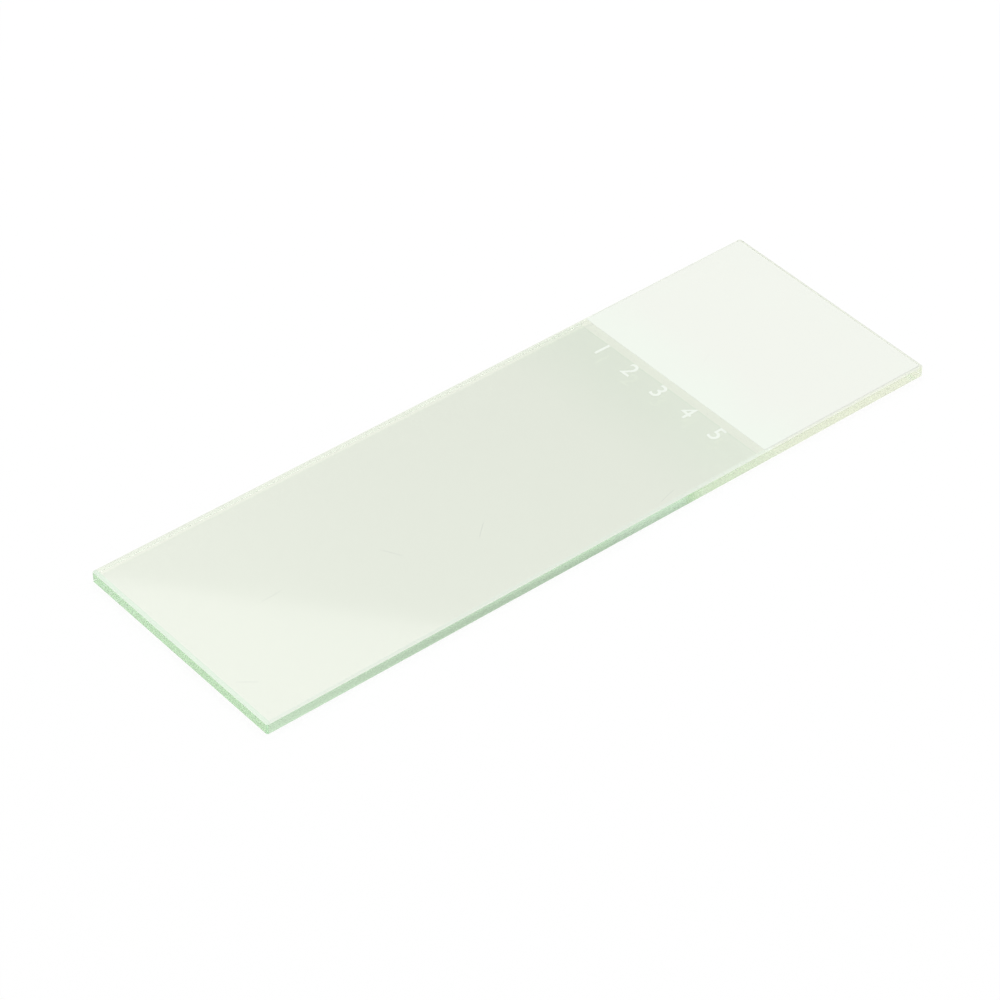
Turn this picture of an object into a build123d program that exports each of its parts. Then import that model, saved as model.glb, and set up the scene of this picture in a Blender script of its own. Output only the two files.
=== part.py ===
"""Microscope slide: a clear glass plate with ground edges and a white printed marking area.

Frame: millimetres. +X runs along the plate towards the marked end, +Y across it and +Z up.
The origin is the middle of the underside, so the plate rests on Z = 0.
"""

import os

from build123d import *

# Glass plate
plate_length = 75.0
plate_width = 25.0
plate_thickness = 1.2

# Ground edges: the upper face gets shallow bevels, the rim of the underside is only broken,
# and the corners are nipped off at 45 degrees
side_bevel_run = 0.3  # how far the bevel of a long side reaches in over the upper face
end_bevel_run = 0.4  # the same at a short end, which is ground a little wider
bevel_drop = 0.11  # how far each of them comes down the wall
underside_bevel = 0.05  # the same both ways
corner_nip = 0.15

# White marking area, printed on the upper face at the +X end
marking_length = 19.3  # from the plate's end to the inner edge of the print
marking_thickness = 0.03
marking_margin = 0.03  # bare glass between the print and the bevels

os.makedirs("parts", exist_ok=True)

with BuildPart() as glass_plate:
    # the blank, cut to size, with its corners nipped
    with BuildSketch():
        Rectangle(plate_length, plate_width)
        chamfer(vertices(), corner_nip)
    extrude(amount=plate_thickness)

    # the bevels of the upper face, the ends first, then the long sides
    for rim_direction, bevel_run in ((Axis.Y, end_bevel_run), (Axis.X, side_bevel_run)):
        upper_face = faces().sort_by(Axis.Z)[-1]
        chamfer(upper_face.edges().filter_by(rim_direction), bevel_run, bevel_drop, reference=upper_face)

    chamfer(faces().sort_by(Axis.Z)[0].edges(), underside_bevel)

glass_plate.part.label = "glass_plate"
export_step(glass_plate.part, "parts/glass_plate.step")

# The print fills the flat of the upper face at the +X end, a margin short of the bevels
marking_inner = plate_length / 2 - marking_length
marking_outer = plate_length / 2 - end_bevel_run - marking_margin
marking_width = plate_width - 2 * (side_bevel_run + marking_margin)

with BuildPart() as marking_area:
    with BuildSketch(Plane.XY.offset(plate_thickness)):
        with Locations(((marking_inner + marking_outer) / 2, 0)):
            Rectangle(marking_outer - marking_inner, marking_width)
    extrude(amount=marking_thickness)

marking_area.part.label = "marking_area"
export_step(marking_area.part, "parts/marking_area.step")
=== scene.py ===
"""Microscope slide: clear glass plate with ground edges, white marking area and position numbers."""

import math

import bpy
from bpy.props import FloatProperty, FloatVectorProperty, IntProperty, PointerProperty
from bpy.types import NodeSocket, Operator, Panel, PropertyGroup
from mathutils import Matrix, Vector


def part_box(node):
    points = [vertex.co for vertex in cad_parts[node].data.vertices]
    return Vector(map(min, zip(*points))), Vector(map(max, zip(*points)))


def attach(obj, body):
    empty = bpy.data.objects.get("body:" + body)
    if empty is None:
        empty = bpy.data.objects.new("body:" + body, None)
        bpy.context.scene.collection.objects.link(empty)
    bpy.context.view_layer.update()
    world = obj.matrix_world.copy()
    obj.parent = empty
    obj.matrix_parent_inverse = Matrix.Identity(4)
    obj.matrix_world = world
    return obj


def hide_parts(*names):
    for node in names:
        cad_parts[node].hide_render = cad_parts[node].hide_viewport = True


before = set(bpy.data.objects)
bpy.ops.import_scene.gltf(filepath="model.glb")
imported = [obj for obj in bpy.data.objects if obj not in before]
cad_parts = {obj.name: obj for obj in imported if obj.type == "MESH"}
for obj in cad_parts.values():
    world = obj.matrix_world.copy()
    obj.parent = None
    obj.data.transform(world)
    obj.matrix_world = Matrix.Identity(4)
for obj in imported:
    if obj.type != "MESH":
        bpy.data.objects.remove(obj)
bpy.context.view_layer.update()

bl_info = {
    "name": "Microscope slide",
    "version": (1, 0, 0),
    "blender": (4, 5, 0),
    "location": "3D View > Sidebar > Slide",
    "description": "Finishes a glass microscope slide and lights it on a white table",
    "category": "Object",
}

MM = 0.001
DIGIT_SHARE = 0.7  # a digit's height as a share of its font size
LIGHT_TURNS = 96  # how often light may turn on its way through the glass
glass_low, glass_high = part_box("glass_plate")
print_low, print_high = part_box("marking_area")


# Sizes and colours

class SLIDE_PG_glass(PropertyGroup):
    # painted shade: the face tint is partly the glass's own green and partly the shade of the table below the
    # slide
    face_green_and_shade: FloatVectorProperty(
        name="Face tint", description="Tint of what is seen through the polished faces", subtype="COLOR",
        size=4, default=(0.855, 0.89, 0.793, 1.0), min=0, max=1)
    # painted light: the paler rim stands in for the light that reaches the table along the far rim
    rim_light_tint: FloatVectorProperty(
        name="Rim tint", description="Tint along the far rim, where more light reaches the table below",
        subtype="COLOR", size=4, default=(0.96, 0.98, 0.86, 1.0), min=0, max=1)
    rim_width: FloatProperty(
        name="Rim width", description="Width of the paler strip along the far rim, from the wall in",
        default=0.95 * MM, unit="LENGTH")
    shade_tint: FloatVectorProperty(
        name="Shade tint", description="What the face tint is multiplied by in the print's shade",
        subtype="COLOR", size=4, default=(0.86, 0.932, 0.88, 1.0), min=0, max=1)
    strip_width: FloatProperty(
        name="Strip width", description="Width of the strip beside the print that its shade leaves free",
        default=0.9 * MM, unit="LENGTH")
    shade_reach: FloatProperty(
        name="Shade reach", description="How far from the print its shade fades out",
        default=12 * MM, unit="LENGTH")
    shade_depth: FloatProperty(
        name="Shade depth", description="Share of the shade tint close to the print", default=0.65)
    line_depth: FloatProperty(
        name="Line depth", description="What the fine line at the shade's start adds to it", default=0.35)
    mark_colour: FloatVectorProperty(
        name="Mark colour", description="Tint of the marks of handling", subtype="COLOR",
        size=4, default=(0.45, 0.5, 0.45, 1.0), min=0, max=1)
    mark_depth: FloatProperty(
        name="Mark depth", description="Share of that tint in a mark", default=0.5, min=0, max=1)
    bevel_tint: FloatVectorProperty(
        name="Bevel tint", description="Tint of what is seen through the ground bevels", subtype="COLOR",
        size=4, default=(0.83, 0.93, 0.82, 1.0), min=0, max=1)
    end_tint: FloatVectorProperty(
        name="End bevel tint", description="The same at the short ends", subtype="COLOR",
        size=4, default=(0.69, 0.87, 0.71, 1.0), min=0, max=1)
    # painted shade: under the print the bevels are darker, for the print's shadow on the table below, as well
    # as the glass's green
    coated_bevel_green_and_shade: FloatVectorProperty(
        name="Coated bevel tint", description="The same where the print laps over the bevels",
        subtype="COLOR", size=4, default=(0.78, 0.82, 0.68, 1.0), min=0, max=1)
    face_roughness: FloatProperty(
        name="Face roughness", description="Roughness of the polished faces", default=0.04, min=0, max=1)
    wall_tint: FloatVectorProperty(
        name="Wall tint", description="Tint of what is seen through the ground walls", subtype="COLOR",
        size=4, default=(0.84, 0.97, 0.775, 1.0), min=0, max=1)
    # painted shade: the near long wall is darker between these reaches from the print
    near_wall_shade_tint: FloatVectorProperty(
        name="Deep wall tint", description="The same where the near wall is darkest", subtype="COLOR",
        size=4, default=(0.66, 0.88, 0.61, 1.0), min=0, max=1)
    ink_light: FloatProperty(
        name="Ink light", description="How far from the print its light comes out of the long walls",
        default=7.5 * MM, unit="LENGTH")
    wall_shade_start: FloatProperty(
        name="Deep start", description="How far from the print the near wall begins to darken",
        default=27 * MM, unit="LENGTH")
    wall_shade_end: FloatProperty(
        name="Deep end", description="How far from the print it is darkest", default=12 * MM, unit="LENGTH")
    bevel_roughness: FloatProperty(
        name="Bevel roughness", description="Roughness of the upper bevels", default=0.12, min=0, max=1)
    under_roughness: FloatProperty(
        name="Lower bevel roughness", description="Roughness of the lower bevels", default=0.9, min=0, max=1)
    wall_roughness: FloatProperty(
        name="Wall roughness", description="Roughness of the ground walls", default=0.15, min=0, max=1)
    far_roughness: FloatProperty(
        name="Far wall roughness", description="Roughness of the wall along +Y, which is ground finer",
        default=0.1, min=0, max=1)
    side_bevel: FloatProperty(
        name="Side bevel", description="Reach of the ground bevel over the upper face at a long side",
        default=0.3 * MM, unit="LENGTH")
    end_bevel: FloatProperty(
        name="End bevel", description="The same at a short end", default=0.4 * MM, unit="LENGTH")
    under_bevel: FloatProperty(
        name="Lower bevel", description="Reach of the bevel round the underside",
        default=0.05 * MM, unit="LENGTH")
    bevel_drop: FloatProperty(
        name="Bevel drop", description="How far each upper bevel comes down the wall",
        default=0.11 * MM, unit="LENGTH")
    corner_nip: FloatProperty(
        name="Corner nip", description="What is ground off each corner", default=0.15 * MM, unit="LENGTH")
    grind_wander: FloatProperty(
        name="Grind wander", description="How unevenly the grinding runs out on the faces",
        default=0.015 * MM, unit="LENGTH")
    grind_depth: FloatProperty(
        name="Grind depth", description="Depth of the grinding lines", default=0.0003 * MM, unit="LENGTH")
    depth_colour: FloatVectorProperty(
        name="Depth colour", description="Colour that the glass turns to along a long path",
        subtype="COLOR", size=4, default=(0.16, 0.77, 0.29, 1.0), min=0, max=1)
    depth_density: FloatProperty(
        name="Depth density", description="How fast that colour builds up, per metre", default=7.5)


class SLIDE_PG_marking(PropertyGroup):
    ink_colour: FloatVectorProperty(
        name="Ink colour", description="Colour of the white ink", subtype="COLOR",
        size=4, default=(0.827, 0.851, 0.788, 1.0), min=0, max=1)
    cool_colour: FloatVectorProperty(
        name="Cool ink colour", description="Colour of the ink towards the clear glass, where it is thinner",
        subtype="COLOR", size=4, default=(0.822, 0.876, 0.798, 1.0), min=0, max=1)
    # painted light: the ink's back is paler than its top, for light that comes through the ink
    lit_back_colour: FloatVectorProperty(
        name="Back colour", description="Colour of the ink's back, seen through the glass",
        subtype="COLOR", size=4, default=(0.98, 0.98, 0.87, 1.0), min=0, max=1)
    cool_reach: FloatProperty(
        name="Cool reach", description="How far from the inner edge the ink is cooler",
        default=7 * MM, unit="LENGTH")
    mark_colour: FloatVectorProperty(
        name="Mark colour", description="Colour of the marks of handling", subtype="COLOR",
        size=4, default=(0.55, 0.55, 0.5, 1.0), min=0, max=1)
    mark_depth: FloatProperty(
        name="Mark depth", description="Share of that colour in a mark", default=0.12, min=0, max=1)
    overlap: FloatProperty(
        name="Overlap", description="How far the ink runs on over the bevels",
        default=0.1 * MM, unit="LENGTH")
    rounding: FloatProperty(
        name="Rounding", description="Width of the rounded rim of the ink", default=0.05 * MM, unit="LENGTH")
    waviness: FloatProperty(
        name="Waviness", description="How far the inner edge wanders", default=0.012 * MM, unit="LENGTH")
    contact: FloatProperty(
        name="Contact", description="How far the ink reaches into the glass, so that no air is between",
        default=0.002 * MM, unit="LENGTH")
    grain: FloatProperty(
        name="Ink grain", description="Height of the fine grain of the dry ink",
        default=0.0015 * MM, unit="LENGTH")


class SLIDE_PG_numbers(PropertyGroup):
    count: IntProperty(name="Count", description="How many position numbers there are", default=5, min=1)
    first: IntProperty(name="First", description="The number farthest from the front", default=1)
    pitch: FloatProperty(
        name="Pitch", description="From one number to the next", default=3.95 * MM, unit="LENGTH")
    height: FloatProperty(name="Height", description="Height of a number", default=1.75 * MM, unit="LENGTH")
    weight: FloatProperty(
        name="Weight", description="What is added to each side of a stroke", default=0.02 * MM, unit="LENGTH")
    thickness: FloatProperty(
        name="Thickness", description="Thickness of the ink", default=0.015 * MM, unit="LENGTH")
    distance: FloatProperty(
        name="Distance", description="From the middle of the numbers to the marking area",
        default=1.9 * MM, unit="LENGTH")


class SLIDE_PG_stage(PropertyGroup):
    azimuth: FloatProperty(
        name="Azimuth", description="Where the camera stands, turned from the front",
        default=math.radians(-39.464), subtype="ANGLE")
    elevation: FloatProperty(
        name="Elevation", description="Height of the camera above the table, as an angle",
        default=math.radians(40.368), subtype="ANGLE")
    distance: FloatProperty(
        name="Distance", description="From the camera to the slide", default=380.9 * MM, unit="LENGTH")
    aim_right: FloatProperty(
        name="Aim to the right", description="How far right of the slide's middle the camera aims",
        default=-1.722 * MM, unit="LENGTH")
    aim_up: FloatProperty(
        name="Aim up", description="How far above the slide's middle the camera aims",
        default=-2.185 * MM, unit="LENGTH")
    focal_length: FloatProperty(
        name="Focal length", description="For a sensor 36 mm wide, in millimetres", default=154.35)
    air_gap: FloatProperty(
        name="Air gap", description="Air between the glass and the table", default=0.02 * MM, unit="LENGTH")
    table_size: FloatProperty(name="Table size", description="Side of the table", default=4.0, unit="LENGTH")
    table_glow: FloatProperty(
        name="Table glow", description="Share of the table's white that is its own light", default=0.91)
    fill: FloatProperty(name="Fill light", description="Strength of the light from all round", default=0.81)
    room: FloatProperty(
        name="Room", description="Brightness of the room above, as the glass mirrors it", default=0.33)
    behind: FloatProperty(
        name="Behind", description="Brightness of the room's horizon behind the slide", default=0.1)
    front: FloatProperty(
        name="Front", description="Brightness of the room in front of the slide", default=0.68)
    side_light: FloatProperty(
        name="Side light", description="Brightness of the window past the marked end", default=1.0)
    ends: FloatProperty(
        name="Ends", description="What the long walls show more of it towards the slide's ends", default=0.4)
    halo: FloatProperty(
        name="Halo", description="What the softbox adds to the ceiling round it", default=0.77)
    halo_tilt: FloatProperty(
        name="Halo tilt", description="From what faces the camera in the glass to the halo's middle",
        default=math.radians(40), subtype="ANGLE")
    halo_turn: FloatProperty(
        name="Halo turn", description="How far the halo's middle is turned from straight up to the left",
        default=math.radians(30.67), subtype="ANGLE")
    halo_core: FloatProperty(
        name="Halo core", description="From the halo's middle to where it begins to fade",
        default=math.radians(37), subtype="ANGLE")
    halo_rim: FloatProperty(
        name="Halo rim", description="From the halo's middle to where it ends",
        default=math.radians(44), subtype="ANGLE")
    box_height: FloatProperty(
        name="Softbox height", description="Above the table", default=0.7, unit="LENGTH")
    box_reach: FloatProperty(
        name="Softbox reach", description="From above the slide to the softbox's far edge",
        default=0.733, unit="LENGTH")
    box_width: FloatProperty(
        name="Softbox width", description="Side of the softbox across its line", default=1.0, unit="LENGTH")
    box_depth: FloatProperty(
        name="Softbox depth", description="Side of the softbox along its line", default=0.7, unit="LENGTH")
    box_turn: FloatProperty(
        name="Softbox turn", description="How far the softbox is turned off the camera's line",
        default=math.radians(-12), subtype="ANGLE")
    box_light: FloatProperty(name="Softbox light", description="Brightness of the softbox", default=1.15)


# Building nodes

def plug(tree, socket, value):
    """Links a socket to an input, or sets the input to a value."""
    if isinstance(value, NodeSocket):
        tree.links.new(value, socket)
    else:
        socket.default_value = value


def add(tree, kind, options=None, **inputs):
    """A new node. Options are its settings; inputs go by name, with _ for a space."""
    node = tree.nodes.new(kind)
    for name, value in (options or {}).items():
        setattr(node, name, value)
    for name, value in inputs.items():
        plug(tree, node.inputs[name.replace("_", " ")], value)
    return node


def calc(tree, operation, *values):
    """The result of a Math node."""
    node = tree.nodes.new("ShaderNodeMath")
    node.operation = operation
    for socket, value in zip(node.inputs, values):
        plug(tree, socket, value)
    return node.outputs[0]


def times(tree, *factors):
    """The product of several values."""
    product = factors[0]
    for factor in factors[1:]:
        product = calc(tree, "MULTIPLY", product, factor)
    return product


def rest_of(tree, mask):
    """What a mask leaves of 1."""
    return calc(tree, "SUBTRACT", 1.0, mask)


def ramp(tree, value, start, end, low=0.0, high=1.0, smooth=False):
    """The value, spread from start..end to low..high and held there beyond them."""
    node = add(tree, "ShaderNodeMapRange", {"interpolation_type": "SMOOTHSTEP" if smooth else "LINEAR"},
               Value=value, From_Min=start, From_Max=end, To_Min=low, To_Max=high)
    return node.outputs[0]


def wave(tree, noise, low, high):
    """A noise, whose middle values are spread from low to high."""
    return ramp(tree, noise, 0.3, 0.7, low, high)


def blend(tree, factor, first, second, kind="MIX"):
    """A mix of two colours."""
    node = add(tree, "ShaderNodeMix", {"data_type": "RGBA", "blend_type": kind}, Factor=factor)
    colours = [socket for socket in node.inputs if socket.type == "RGBA"]
    plug(tree, colours[0], first)
    plug(tree, colours[1], second)
    return next(socket for socket in node.outputs if socket.type == "RGBA")


def object_axes(tree):
    """The X, Y and Z sockets of a point's place in the slide, and the place itself."""
    place = add(tree, "ShaderNodeTexCoord").outputs["Object"]
    axes = add(tree, "ShaderNodeSeparateXYZ", Vector=place)
    return axes.outputs["X"], axes.outputs["Y"], axes.outputs["Z"], place


def new_material(name):
    """An empty node material, its tree and its output node."""
    material = bpy.data.materials.new(name)
    material.use_nodes = True
    tree = material.node_tree
    tree.nodes.clear()
    return material, tree, tree.nodes.new("ShaderNodeOutputMaterial")


def seen_directly(tree):
    """1 for what the camera sees, also in glass and through it, and 0 for light on a dull surface."""
    path = add(tree, "ShaderNodeLightPath")
    mirrored = calc(tree, "MAXIMUM", path.outputs["Is Camera Ray"], path.outputs["Is Glossy Ray"])
    return calc(tree, "MAXIMUM", mirrored, path.outputs["Is Transmission Ray"])


def handling_marks():
    """Shader group: the specks, hairlines and smudges that handling leaves on the slide."""
    name = "handling_marks"
    if name in bpy.data.node_groups:
        return bpy.data.node_groups[name]
    tree = bpy.data.node_groups.new(name, "ShaderNodeTree")
    sockets = tree.interface
    for label, default in (("Cell Size", 6 * MM), ("Speck Size", 0.05 * MM), ("Line Length", 1.0 * MM),
                           ("Line Width", 0.02 * MM), ("Share", 0.12)):
        sockets.new_socket(label, in_out="INPUT", socket_type="NodeSocketFloat").default_value = default
    for label in ("Specks", "Lines", "Smudges"):
        sockets.new_socket(label, in_out="OUTPUT", socket_type="NodeSocketFloat")
    given = tree.nodes.new("NodeGroupInput").outputs
    result = tree.nodes.new("NodeGroupOutput").inputs
    place = add(tree, "ShaderNodeTexCoord").outputs["Object"]

    # each cell of the surface has chance values, and a middle in the slide's own measure
    per_metre = calc(tree, "DIVIDE", 1.0, given["Cell Size"])
    cells = add(tree, "ShaderNodeTexVoronoi", {"voronoi_dimensions": "2D"}, Vector=place, Scale=per_metre)
    chance = add(tree, "ShaderNodeSeparateColor", Color=cells.outputs["Color"]).outputs
    away = add(tree, "ShaderNodeVectorMath", {"operation": "SUBTRACT"})
    plug(tree, away.inputs[0], place)
    plug(tree, away.inputs[1], cells.outputs["Position"])
    offset = add(tree, "ShaderNodeSeparateXYZ", Vector=away.outputs[0])
    across = offset.outputs["X"]
    along = offset.outputs["Y"]

    # a speck in its middle
    squares = calc(tree, "ADD", times(tree, across, across), times(tree, along, along))
    size = times(tree, given["Speck Size"], chance["Red"])
    plug(tree, result["Specks"], calc(tree, "LESS_THAN", calc(tree, "SQRT", squares), size))

    # and in some of them a hairline through it, turned at random
    turn = times(tree, chance["Green"], math.pi)
    cosine = calc(tree, "COSINE", turn)
    sine = calc(tree, "SINE", turn)
    run = calc(tree, "ADD", times(tree, across, cosine), times(tree, along, sine))
    side = calc(tree, "SUBTRACT", times(tree, along, cosine), times(tree, across, sine))
    short = calc(tree, "LESS_THAN", calc(tree, "ABSOLUTE", run), given["Line Length"])
    thin = calc(tree, "LESS_THAN", calc(tree, "ABSOLUTE", side), given["Line Width"])
    lucky = calc(tree, "LESS_THAN", chance["Blue"], given["Share"])
    plug(tree, result["Lines"], times(tree, short, thin, lucky))

    cloud = add(tree, "ShaderNodeTexNoise", Vector=place, Scale=90.0, Detail=4.0, Roughness=0.6)
    plug(tree, result["Smudges"], ramp(tree, cloud.outputs[0], 0.45, 0.75, smooth=True))
    return tree


def table_material(glow_share):
    """White, partly by its own light, so that it is as bright in the glass as beside it."""
    material, tree, output = new_material("studio_table")
    top = add(tree, "ShaderNodeBsdfDiffuse", Color=(0.95, 0.95, 0.95, 1))
    glow = add(tree, "ShaderNodeEmission", Strength=seen_directly(tree))
    mixed = add(tree, "ShaderNodeMixShader", Fac=glow_share)
    plug(tree, mixed.inputs[1], top.outputs[0])
    plug(tree, mixed.inputs[2], glow.outputs[0])
    plug(tree, output.inputs["Surface"], mixed.outputs[0])
    # a light that looks different to different rays is found by the rays alone
    material.cycles.emission_sampling = "NONE"
    return material


def glass_material(s):
    """Polished faces, ground bevels and walls, and the green of the glass along a long path."""
    material, tree, output = new_material("ground_glass")
    x, y, z, place = object_axes(tree)
    out_x = calc(tree, "ABSOLUTE", x)
    out_y = calc(tree, "ABSOLUTE", y)
    white = (1, 1, 1, 1)
    blur = 0.01 * MM  # how softly one finish gives way to the next
    low = ramp(tree, z, 0.4 * glass_high.z, 0.6 * glass_high.z, 1.0, 0.0)  # the lower half of the plate
    upper = rest_of(tree, low)

    # the grinding ends about where the bevels do, and not quite evenly
    uneven = add(tree, "ShaderNodeTexNoise", Vector=place, Scale=1500.0, Detail=3.0).outputs[0]
    wander = wave(tree, uneven, -s.grind_wander, s.grind_wander)
    grounds = []
    walls = []
    for out, bevel, rim in ((out_x, s.end_bevel, glass_high.x), (out_y, s.side_bevel, glass_high.y)):
        edge = rim - bevel
        reached = calc(tree, "SUBTRACT", calc(tree, "ADD", out, wander),
                       times(tree, low, bevel - s.under_bevel))
        grounds.append(ramp(tree, reached, edge - blur, edge + blur))
        walls.append(ramp(tree, out, rim - 1.5 * blur, rim - 0.5 * blur))
    nip = glass_high.x + glass_high.y - s.corner_nip
    walls.append(ramp(tree, calc(tree, "ADD", out_x, out_y), nip - 1.5 * blur, nip - 0.5 * blur))
    ground = calc(tree, "MAXIMUM", *grounds)
    polished = rest_of(tree, ground)
    wall = calc(tree, "MAXIMUM", calc(tree, "MAXIMUM", *walls[:2]), walls[2])
    far_wall = ramp(tree, y, glass_high.y - 1.5 * blur, glass_high.y - 0.5 * blur)

    # the faces: paler along the far rim, and tinted as far under the print as is seen from beside it
    bare = ramp(tree, x, print_low.x + 0.6 * MM, print_low.x + 0.9 * MM, 1.0, 0.0)
    soft = 0.05 * MM  # half the width of a soft border
    strip = glass_high.y - s.rim_width
    # painted light: a paler strip along the far rim, on the faces and the upper bevels
    rim = times(tree, ramp(tree, y, strip - soft, strip + soft), upper)
    # the face tint is the glass's green with painted shade of the table below
    face = blend(tree, bare, white, blend(tree, rim, s.face_green_and_shade, s.rim_light_tint))

    # the table is shaded beside the print, past the strip where the print's back is mirrored,
    # and the shade begins with a fine darker line
    beside = calc(tree, "SUBTRACT", print_low.x, x)
    step = 0.04 * MM
    shade = times(tree, ramp(tree, beside, s.strip_width - step, s.strip_width + step),
                  ramp(tree, beside, 2 * MM, s.shade_reach, s.shade_depth, 0.0, smooth=True))
    off_line = calc(tree, "ABSOLUTE", calc(tree, "SUBTRACT", beside, s.strip_width + 2 * step))
    shade = calc(tree, "ADD", shade, ramp(tree, off_line, soft, 2 * soft, s.line_depth, 0.0))
    face = blend(tree, times(tree, shade, upper), face, s.shade_tint, "MULTIPLY")

    # a few marks of handling
    marks = add(tree, "ShaderNodeGroup", {"node_tree": handling_marks()}).outputs
    spots = calc(tree, "MAXIMUM", marks["Specks"], marks["Lines"])
    face = blend(tree, times(tree, spots, bare, polished, upper, s.mark_depth), face, s.mark_colour)

    # the bevels, with painted shade of the print on the table below where the print laps over them
    side_tint = blend(tree, rim, s.bevel_tint, s.rim_light_tint)
    bevel_tint = blend(tree, bare, s.coated_bevel_green_and_shade, blend(tree, grounds[0], side_tint, s.end_tint))
    tint = blend(tree, ground, face, blend(tree, low, bevel_tint, white))

    # the long walls are tinted green where no light from the print comes out of them, and left white, as
    # painted light, where it does;
    # the near one is painted darker, as painted shade, just before that light begins
    unlit = ramp(tree, beside, s.ink_light, s.ink_light + 1.5 * MM)
    near_shade = times(tree, ramp(tree, beside, s.wall_shade_start, s.wall_shade_end), rest_of(tree, far_wall))
    green = blend(tree, near_shade, s.wall_tint, s.near_wall_shade_tint)
    tint = blend(tree, wall, tint, blend(tree, times(tree, walls[1], unlit), white, green))

    # roughness: faces with smudges, then bevels, then walls with a fine grit
    face_rough = calc(tree, "ADD", s.face_roughness, times(tree, marks["Smudges"], 0.01))
    bevel_rough = ramp(tree, low, 0.0, 1.0, s.bevel_roughness, s.under_roughness)
    grit = add(tree, "ShaderNodeTexNoise", Vector=place, Scale=9000.0, Detail=2.0).outputs[0]
    wall_rough = times(tree, ramp(tree, far_wall, 0.0, 1.0, s.wall_roughness, s.far_roughness),
                       wave(tree, grit, 0.9, 1.1))
    rough = calc(tree, "ADD", times(tree, face_rough, polished), times(tree, bevel_rough, ground))
    rough = calc(tree, "ADD", times(tree, rough, rest_of(tree, wall)), times(tree, wall_rough, wall))

    # grinding lines run along the edges
    lines = add(tree, "ShaderNodeMapping", Vector=place, Scale=(500.0, 500.0, 20000.0))
    grooves = add(tree, "ShaderNodeTexNoise", Vector=lines.outputs[0], Scale=1.0, Detail=2.0).outputs[0]
    relief = add(tree, "ShaderNodeBump", Height=times(tree, grooves, ground), Distance=s.grind_depth,
                 Strength=1.0)

    glass = add(tree, "ShaderNodeBsdfPrincipled", Transmission_Weight=1.0, IOR=1.52,
                Base_Color=tint, Roughness=rough, Normal=relief.outputs[0])
    body = add(tree, "ShaderNodeVolumeAbsorption", Color=s.depth_colour, Density=s.depth_density)
    plug(tree, output.inputs["Surface"], glass.outputs[0])
    plug(tree, output.inputs["Volume"], body.outputs[0])
    return material


def print_material(s):
    """White ceramic ink: a fine grain on top, cooler where it lies thin, and a paler back against the glass,
    painted light for what shines through the ink.
    """
    material, tree, output = new_material("ceramic_ink")
    x, y, z, place = object_axes(tree)

    # the ink's own colour
    cloud = add(tree, "ShaderNodeTexNoise", Vector=place, Scale=160.0, Detail=3.0).outputs[0]
    fade = ramp(tree, x, print_low.x, print_low.x + s.cool_reach, 0.9, 0.0, smooth=True)
    thin = calc(tree, "ADD", fade, ramp(tree, cloud, 0.35, 0.65, -0.15, 0.15))
    ink = blend(tree, calc(tree, "MAXIMUM", thin, 0.0), s.ink_colour, s.cool_colour)

    # faint marks of handling
    marks = add(tree, "ShaderNodeGroup", {"node_tree": handling_marks()}, Cell_Size=5 * MM,
                Speck_Size=0.06 * MM, Line_Length=0.8 * MM, Share=0.2).outputs
    spots = calc(tree, "MAXIMUM", marks["Specks"], marks["Lines"])
    ink = blend(tree, times(tree, spots, s.mark_depth), ink, s.mark_colour)

    # the paler back, painted light, shows where the ink lies on the face, and not where it laps over the
    # bevels
    above = ramp(tree, z, print_low.z, print_low.z + 0.005 * MM)
    lap = ramp(tree, calc(tree, "ABSOLUTE", y), print_high.y, print_high.y + 0.01 * MM)
    colour = blend(tree, calc(tree, "MAXIMUM", above, lap), s.lit_back_colour, ink)

    rough = ramp(tree, marks["Smudges"], 0.0, 1.0, 0.5, 0.4)
    grain = add(tree, "ShaderNodeTexNoise", Vector=place, Scale=9000.0, Detail=3.0).outputs[0]
    relief = add(tree, "ShaderNodeBump", Height=grain, Distance=s.grain, Strength=0.6)
    surface = add(tree, "ShaderNodeBsdfPrincipled", Base_Color=colour, Roughness=rough,
                  Normal=relief.outputs[0])
    plug(tree, output.inputs["Surface"], surface.outputs[0])
    return material


# Geometry Nodes

def new_shape(name, sizes):
    """An empty Geometry Nodes tree with named inputs, its inputs and its output socket."""
    tree = bpy.data.node_groups.new(name, "GeometryNodeTree")
    for label, kind, value in sizes:
        socket = tree.interface.new_socket(label, in_out="INPUT", socket_type="NodeSocket" + kind)
        socket.default_value = value
    tree.interface.new_socket("Material", in_out="INPUT", socket_type="NodeSocketMaterial")
    tree.interface.new_socket("Geometry", in_out="OUTPUT", socket_type="NodeSocketGeometry")
    given = tree.nodes.new("NodeGroupInput").outputs
    result = tree.nodes.new("NodeGroupOutput").inputs[0]
    return tree, given, result


def make_piece(context, name, tree, material, values):
    """Runs the tree and leaves its result as a plain mesh object."""
    piece = bpy.data.objects.new(name, bpy.data.meshes.new(name + "_start"))
    context.scene.collection.objects.link(piece)
    modifier = piece.modifiers.new("shape", "NODES")
    modifier.node_group = tree
    for item in tree.interface.items_tree:
        if item.in_out == "INPUT" and item.socket_type == "NodeSocketMaterial":
            modifier[item.identifier] = material
        elif item.in_out == "INPUT" and item.name in values:
            modifier[item.identifier] = values[item.name]
    seen = piece.evaluated_get(context.evaluated_depsgraph_get())
    mesh = bpy.data.meshes.new_from_object(seen)
    if not mesh.polygons:
        raise RuntimeError(name + " came out empty")
    piece.modifiers.remove(modifier)
    piece.data = mesh
    mesh.name = name
    return piece


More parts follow.
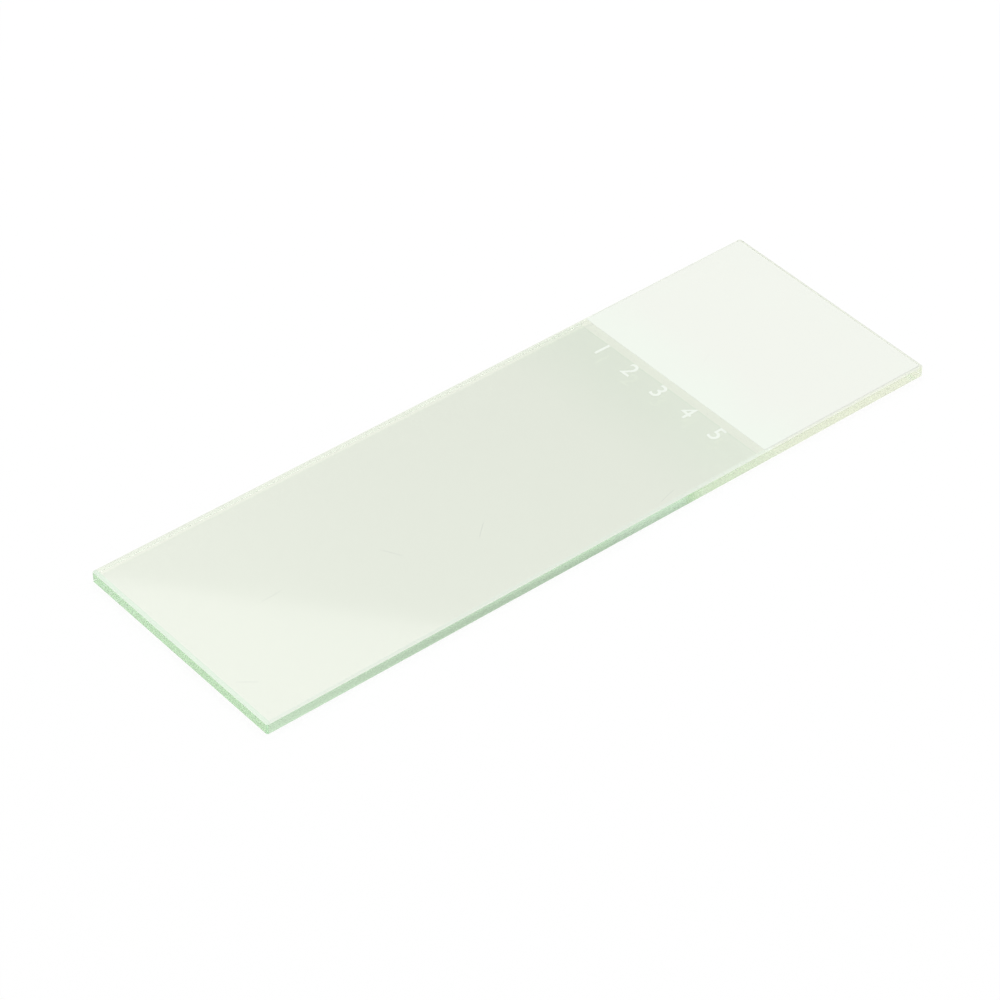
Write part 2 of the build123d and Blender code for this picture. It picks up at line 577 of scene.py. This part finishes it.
def finish_shape(tree, result, mesh, material):
    """Ends a tree: sharp rims, the material, and no instances."""
    sharp_bend = math.radians(50)
    angle = add(tree, "GeometryNodeInputMeshEdgeAngle").outputs["Unsigned Angle"]
    steep = add(tree, "FunctionNodeCompare", {"data_type": "FLOAT", "operation": "GREATER_THAN"})
    plug(tree, steep.inputs[0], angle)
    plug(tree, steep.inputs[1], sharp_bend)
    smooth = add(tree, "GeometryNodeSetShadeSmooth", {"domain": "FACE"}, Geometry=mesh, Shade_Smooth=True)
    creased = add(tree, "GeometryNodeSetShadeSmooth", {"domain": "EDGE"}, Geometry=smooth.outputs[0],
                  Selection=steep.outputs[0], Shade_Smooth=False)
    real = add(tree, "GeometryNodeRealizeInstances", Geometry=creased.outputs[0])
    coated = add(tree, "GeometryNodeSetMaterial", Geometry=real.outputs[0], Material=material)
    plug(tree, result, coated.outputs[0])


def close_layer(tree, upper, lower):
    """Turns the lower side over and joins the two along their shared rim."""
    under = add(tree, "GeometryNodeFlipFaces", Mesh=lower)
    whole = tree.nodes.new("GeometryNodeJoinGeometry")
    plug(tree, whole.inputs[0], upper)
    plug(tree, whole.inputs[0], under.outputs[0])
    closed = add(tree, "GeometryNodeMergeByDistance", Geometry=whole.outputs[0], Distance=1e-7)
    return closed.outputs[0]


def print_tree():
    """A layer of ink that follows the plate's face and bevels and ends in a rounded rim."""
    tree, given, result = new_shape("printed_layer", [
        ("Start", "Float", 0.0), ("End", "Float", 0.02), ("Half Width", "Float", 0.01),
        ("Plate Top", "Float", 0.001), ("Flat End", "Float", 0.02), ("End Slope", "Float", 0.3),
        ("Flat Side", "Float", 0.01), ("Side Slope", "Float", 0.3), ("Thickness", "Float", 0.03 * MM),
        ("Rounding", "Float", 0.05 * MM), ("Contact", "Float", 0.002 * MM),
        ("Waviness", "Float", 0.01 * MM), ("Seed", "Float", 3.0)])
    # a grid from -1 to 1 both ways, drawn closer together towards its rims
    grid = add(tree, "GeometryNodeMeshGrid", Size_X=2.0, Size_Y=2.0, Vertices_X=97, Vertices_Y=129)
    spot = add(tree, "ShaderNodeSeparateXYZ", Vector=add(tree, "GeometryNodeInputPosition").outputs[0])
    eased = []
    for axis in ("X", "Y"):
        even = spot.outputs[axis]
        cube = times(tree, even, even, even)
        eased.append(calc(tree, "SUBTRACT", times(tree, even, 1.5), times(tree, cube, 0.5)))
    onward = ramp(tree, eased[0], -1.0, 1.0)
    x = ramp(tree, onward, 0.0, 1.0, given["Start"], given["End"])
    y = times(tree, eased[1], given["Half Width"])
    out_y = calc(tree, "ABSOLUTE", y)

    # the rim rises in a quarter circle
    rim = calc(tree, "MINIMUM", calc(tree, "SUBTRACT", x, given["Start"]),
               calc(tree, "SUBTRACT", given["End"], x))
    rim = calc(tree, "MINIMUM", rim, calc(tree, "SUBTRACT", given["Half Width"], out_y))
    share = ramp(tree, rim, 0.0, given["Rounding"])
    left = rest_of(tree, share)
    arch = calc(tree, "SQRT", rest_of(tree, times(tree, left, left)))

    # the inner edge wanders, and the far end stays
    waves_per_metre = 900.0
    along = calc(tree, "ADD", times(tree, y, waves_per_metre), given["Seed"])
    drift = add(tree, "ShaderNodeTexNoise", {"noise_dimensions": "1D"}, W=along, Scale=1.0, Detail=3.0)
    swing = times(tree, wave(tree, drift.outputs[0], -1.0, 1.0), given["Waviness"])
    x = calc(tree, "ADD", x, times(tree, swing, rest_of(tree, onward)))

    # the plate below: flat, then sloping down the bevels
    drops = []
    for out, flat, slope in ((x, "Flat End", "End Slope"), (out_y, "Flat Side", "Side Slope")):
        past = calc(tree, "MAXIMUM", calc(tree, "SUBTRACT", out, given[flat]), 0.0)
        drops.append(times(tree, past, given[slope]))
    ground = calc(tree, "SUBTRACT", given["Plate Top"], calc(tree, "MAXIMUM", *drops))
    upper = calc(tree, "ADD", ground, times(tree, arch, given["Thickness"]))
    lower = calc(tree, "SUBTRACT", ground, times(tree, share, given["Contact"]))
    sides = []
    for height in (upper, lower):
        where = add(tree, "ShaderNodeCombineXYZ", X=x, Y=y, Z=height)
        sides.append(add(tree, "GeometryNodeSetPosition", Geometry=grid.outputs["Mesh"],
                         Position=where.outputs[0]).outputs[0])
    closed = close_layer(tree, *sides)
    # each corner is cut from its tip inwards, so that its upper and lower faces don't fall together
    cut = add(tree, "GeometryNodeTriangulate", {"quad_method": "LONGEST_DIAGONAL"}, Mesh=closed)
    finish_shape(tree, result, cut.outputs[0], given["Material"])
    return tree


def numbers_tree():
    """A row of numbers in flat ink, read from the far side of the plate to the near side."""
    tree, given, result = new_shape("number_row", [
        ("Count", "Int", 5), ("First", "Int", 1), ("Pitch", "Float", 4 * MM), ("Size", "Float", 2 * MM),
        ("Weight", "Float", 0.03 * MM), ("Thickness", "Float", 0.015 * MM), ("Middle", "Vector", (0, 0, 0))])
    start = tree.nodes.new("GeometryNodeRepeatInput")
    end = tree.nodes.new("GeometryNodeRepeatOutput")
    start.pair_with_output(end)
    plug(tree, start.inputs["Iterations"], given["Count"])
    turn = start.outputs["Iteration"]
    value = calc(tree, "ADD", turn, given["First"])
    word = add(tree, "FunctionNodeValueToString", Value=value)
    letters = add(tree, "GeometryNodeStringToCurves", {"align_x": "CENTER", "align_y": "MIDDLE"},
                  String=word.outputs[0], Size=given["Size"])
    flat = add(tree, "GeometryNodeRealizeInstances", Geometry=letters.outputs["Curve Instances"])
    centre = times(tree, calc(tree, "SUBTRACT", given["Count"], 1.0), 0.5)
    shift = times(tree, calc(tree, "SUBTRACT", turn, centre), given["Pitch"])
    moved = add(tree, "GeometryNodeTransform", Geometry=flat.outputs[0],
                Translation=add(tree, "ShaderNodeCombineXYZ", X=shift).outputs[0])
    row = tree.nodes.new("GeometryNodeJoinGeometry")
    plug(tree, row.inputs[0], moved.outputs[0])
    plug(tree, row.inputs[0], start.outputs["Geometry"])
    plug(tree, end.inputs["Geometry"], row.outputs[0])

    # heavier strokes: each outline moves out to its right
    outline = add(tree, "GeometryNodeResampleCurve", {"mode": "EVALUATED"}, Curve=end.outputs["Geometry"])
    across = add(tree, "ShaderNodeVectorMath", {"operation": "CROSS_PRODUCT"})
    plug(tree, across.inputs[0], add(tree, "GeometryNodeInputTangent").outputs[0])
    plug(tree, across.inputs[1], (0, 0, 1))
    push = add(tree, "ShaderNodeVectorMath", {"operation": "SCALE"}, Vector=across.outputs[0],
               Scale=given["Weight"])
    heavy = add(tree, "GeometryNodeSetPosition", Geometry=outline.outputs[0], Offset=push.outputs[0])

    # filled, raised to its thickness and turned to face the near side
    faces = add(tree, "GeometryNodeFillCurve", {"mode": "NGONS"}, Curve=heavy.outputs[0])
    lift = add(tree, "ShaderNodeCombineXYZ", Z=1.0)  # the offset below is read only from a link
    raised = add(tree, "GeometryNodeExtrudeMesh", {"mode": "FACES"}, Mesh=faces.outputs[0],
                 Offset=lift.outputs[0], Offset_Scale=given["Thickness"], Individual=False)
    closed = close_layer(tree, raised.outputs["Mesh"], faces.outputs[0])
    placed = add(tree, "GeometryNodeTransform", Geometry=closed, Translation=given["Middle"],
                 Rotation=(0, 0, -math.pi / 2))
    finish_shape(tree, result, placed.outputs[0], given["Material"])
    return tree


# Pieces

def make_table(scene, s):
    """The white table, a little air below the slide."""
    half = s.table_size / 2
    level = glass_low.z - s.air_gap
    mesh = bpy.data.meshes.new("table")
    mesh.from_pydata(
        [(-half, -half, level), (half, -half, level), (half, half, level), (-half, half, level)],
        [], [(0, 1, 2, 3)])
    mesh.materials.append(table_material(s.table_glow))
    table = bpy.data.objects.new("table", mesh)
    scene.collection.objects.link(table)


def make_camera(scene, s):
    """Sets the camera up and gives the direction from the slide to it."""
    back = Vector((math.sin(s.azimuth) * math.cos(s.elevation),
                   -math.cos(s.azimuth) * math.cos(s.elevation), math.sin(s.elevation)))
    turned = (-back).to_track_quat("-Z", "Y").to_matrix()
    data = bpy.data.cameras.new("camera")
    data.sensor_width = 36.0
    data.lens = s.focal_length
    data.clip_start = 0.01
    data.clip_end = 20.0
    camera = bpy.data.objects.new("camera", data)
    place = back * s.distance + turned.col[0] * s.aim_right + turned.col[1] * s.aim_up
    camera.matrix_world = Matrix.Translation(place) @ turned.to_4x4()
    scene.collection.objects.link(camera)
    scene.camera = camera
    return back


def make_softbox(scene, s):
    """A softbox overhead, whose far edge the upper face mirrors."""
    lamp = bpy.data.lights.new("softbox", "AREA")
    lamp.shape = "RECTANGLE"
    lamp.size = s.box_width
    lamp.size_y = s.box_depth
    lamp.energy = s.box_light * math.pi * lamp.size * lamp.size_y
    softbox = bpy.data.objects.new("softbox", lamp)
    hung = Matrix.Translation((0, s.box_reach - lamp.size_y / 2, s.box_height))
    softbox.matrix_world = Matrix.Rotation(s.azimuth + s.box_turn, 4, "Z") @ hung
    # only mirrors show it, so that no streak of it is seen in through the walls
    softbox.visible_transmission = False
    scene.collection.objects.link(softbox)


def make_room(scene, s, back):
    """The room: white near the floor, darker behind the slide and above it, with its own lights.

    Its tone depends on X, Y and Z of a ray's direction, each from -1 to 1.
    """
    world = bpy.data.worlds.new("studio")
    world.use_nodes = True
    tree = world.node_tree
    sky = add(tree, "ShaderNodeTexCoord").outputs["Generated"]
    axes = add(tree, "ShaderNodeSeparateXYZ", Vector=sky).outputs
    path = add(tree, "ShaderNodeLightPath").outputs

    # from the floor up, it fades from the horizon to what is above
    horizon = ramp(tree, axes["Y"], 0.3, 0.8, 1.0, s.behind, smooth=True)
    horizon = calc(tree, "MAXIMUM", horizon, ramp(tree, axes["Z"], 0.12, 0.25, 1.0, 0.0))
    above = ramp(tree, axes["Y"], -0.5, -0.1, s.front, s.room, smooth=True)
    room = ramp(tree, axes["Z"], 0.02, 0.35, horizon, above, smooth=True)
    # a window past the marked end
    room = calc(tree, "ADD", room, ramp(tree, axes["X"], 0.7, 0.95, 0.0, s.side_light, smooth=True))

    # mirrors show the softbox's glow on the ceiling, up and to the left of what faces the camera
    mirrored = Vector((-back.x, -back.y, back.z))
    right = Vector((-back.y, back.x, 0)).normalized()
    upward = right.cross(mirrored)
    aside = upward * math.cos(s.halo_turn) - right * math.sin(s.halo_turn)
    middle = mirrored * math.cos(s.halo_tilt) + aside * math.sin(s.halo_tilt)
    facing = add(tree, "ShaderNodeVectorMath", {"operation": "DOT_PRODUCT"})
    plug(tree, facing.inputs[0], sky)
    plug(tree, facing.inputs[1], middle)
    halo = ramp(tree, facing.outputs["Value"], math.cos(s.halo_rim), math.cos(s.halo_core), 0.0, s.halo)
    room = calc(tree, "ADD", room, times(tree, halo, path["Is Reflection Ray"]))

    # seen through the long walls, it is brighter towards both ends of the slide: the free end
    # looks past the low side of this band of X, and the marked end past its high side
    ends = calc(tree, "MAXIMUM", ramp(tree, axes["X"], 0.42, 0.46, 1.0, 0.0),
                ramp(tree, axes["X"], 0.52, 0.532, 0.0, 1.8))
    ends = times(tree, ends, ramp(tree, axes["Y"], 0.3, 0.5, 0.0, s.ends))
    room = calc(tree, "ADD", room, times(tree, ends, path["Is Transmission Ray"]))

    # the camera sees white, and dull surfaces get an even light
    shown = calc(tree, "MAXIMUM", path["Is Camera Ray"], room)
    background = tree.nodes["Background"]
    background.inputs["Color"].default_value = (1, 1, 1, 1)
    plug(tree, background.inputs["Strength"], ramp(tree, seen_directly(tree), 0.0, 1.0, s.fill, shown))
    world.cycles.sampling_method = "NONE"
    scene.world = world


class SLIDE_OT_stage(Operator):
    """Sets up the table, the lights and the camera"""
    bl_idname = "slide.stage"
    bl_label = "Stage"

    def execute(self, context):
        scene = context.scene
        s = scene.slide_stage
        make_table(scene, s)
        back = make_camera(scene, s)
        make_softbox(scene, s)
        make_room(scene, s, back)
        scene.view_settings.view_transform = "Standard"
        # light that is caught in the glass turns round many times, and stays sharp
        scene.cycles.max_bounces = LIGHT_TURNS
        scene.cycles.glossy_bounces = LIGHT_TURNS
        scene.cycles.transmission_bounces = LIGHT_TURNS
        scene.cycles.blur_glossy = 0.0
        return {"FINISHED"}


class SLIDE_OT_glass(Operator):
    """Finishes the glass plate"""
    bl_idname = "slide.glass"
    bl_label = "Glass plate"

    def execute(self, context):
        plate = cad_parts["glass_plate"]
        plate.material_slots[0].material = glass_material(context.scene.slide_glass)
        return {"FINISHED"}


class SLIDE_OT_marking(Operator):
    """Makes the white marking area"""
    bl_idname = "slide.marking"
    bl_label = "Marking area"

    def execute(self, context):
        s = context.scene.slide_marking
        glass = context.scene.slide_glass
        flat_end = glass_high.x - glass.end_bevel
        flat_side = glass_high.y - glass.side_bevel
        material = print_material(s)
        piece = make_piece(context, "marking_print", print_tree(), material, {
            "Start": print_low.x, "End": flat_end + s.overlap, "Half Width": flat_side + s.overlap,
            "Plate Top": glass_high.z,
            "Flat End": flat_end, "End Slope": glass.bevel_drop / glass.end_bevel,
            "Flat Side": flat_side, "Side Slope": glass.bevel_drop / glass.side_bevel,
            "Thickness": print_high.z - glass_high.z, "Rounding": s.rounding, "Contact": s.contact,
            "Waviness": s.waviness})
        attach(piece, "root")
        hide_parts("marking_area")
        return {"FINISHED"}


class SLIDE_OT_numbers(Operator):
    """Prints the position numbers beside the marking area"""
    bl_idname = "slide.numbers"
    bl_label = "Position numbers"

    def execute(self, context):
        s = context.scene.slide_numbers
        marking = context.scene.slide_marking
        middle = Vector((print_low.x - s.distance, 0, glass_high.z - marking.contact))
        material = bpy.data.materials["ceramic_ink"]
        piece = make_piece(context, "position_numbers", numbers_tree(), material, {
            "Count": s.count, "First": s.first, "Pitch": s.pitch, "Size": s.height / DIGIT_SHARE,
            "Weight": s.weight, "Thickness": s.thickness + marking.contact, "Middle": middle})
        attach(piece, "root")
        return {"FINISHED"}


class SLIDE_PT_sidebar(Panel):
    """Lists the slide's pieces and their sizes"""
    bl_idname = "SLIDE_PT_sidebar"
    bl_label = "Microscope slide"
    bl_space_type = "VIEW_3D"
    bl_region_type = "UI"
    bl_category = "Slide"

    def draw(self, context):
        for operator, group in zip(OPERATORS, GROUPS):
            box = self.layout.box()
            box.operator(operator.bl_idname)
            settings = getattr(context.scene, group)
            for name in type(settings).__annotations__:
                box.prop(settings, name)


OPERATORS = (SLIDE_OT_stage, SLIDE_OT_glass, SLIDE_OT_marking, SLIDE_OT_numbers)
GROUPS = {"slide_stage": SLIDE_PG_stage, "slide_glass": SLIDE_PG_glass,
          "slide_marking": SLIDE_PG_marking, "slide_numbers": SLIDE_PG_numbers}


def register():
    for part in (*GROUPS.values(), *OPERATORS, SLIDE_PT_sidebar):
        bpy.utils.register_class(part)
    for name, group in GROUPS.items():
        setattr(bpy.types.Scene, name, PointerProperty(type=group))


def unregister():
    for name in GROUPS:
        delattr(bpy.types.Scene, name)
    for part in reversed((*GROUPS.values(), *OPERATORS, SLIDE_PT_sidebar)):
        bpy.utils.unregister_class(part)


def main():
    register()
    bpy.ops.slide.stage()
    bpy.ops.slide.glass()
    bpy.ops.slide.marking()
    bpy.ops.slide.numbers()


if __name__ == "__main__":
    main()
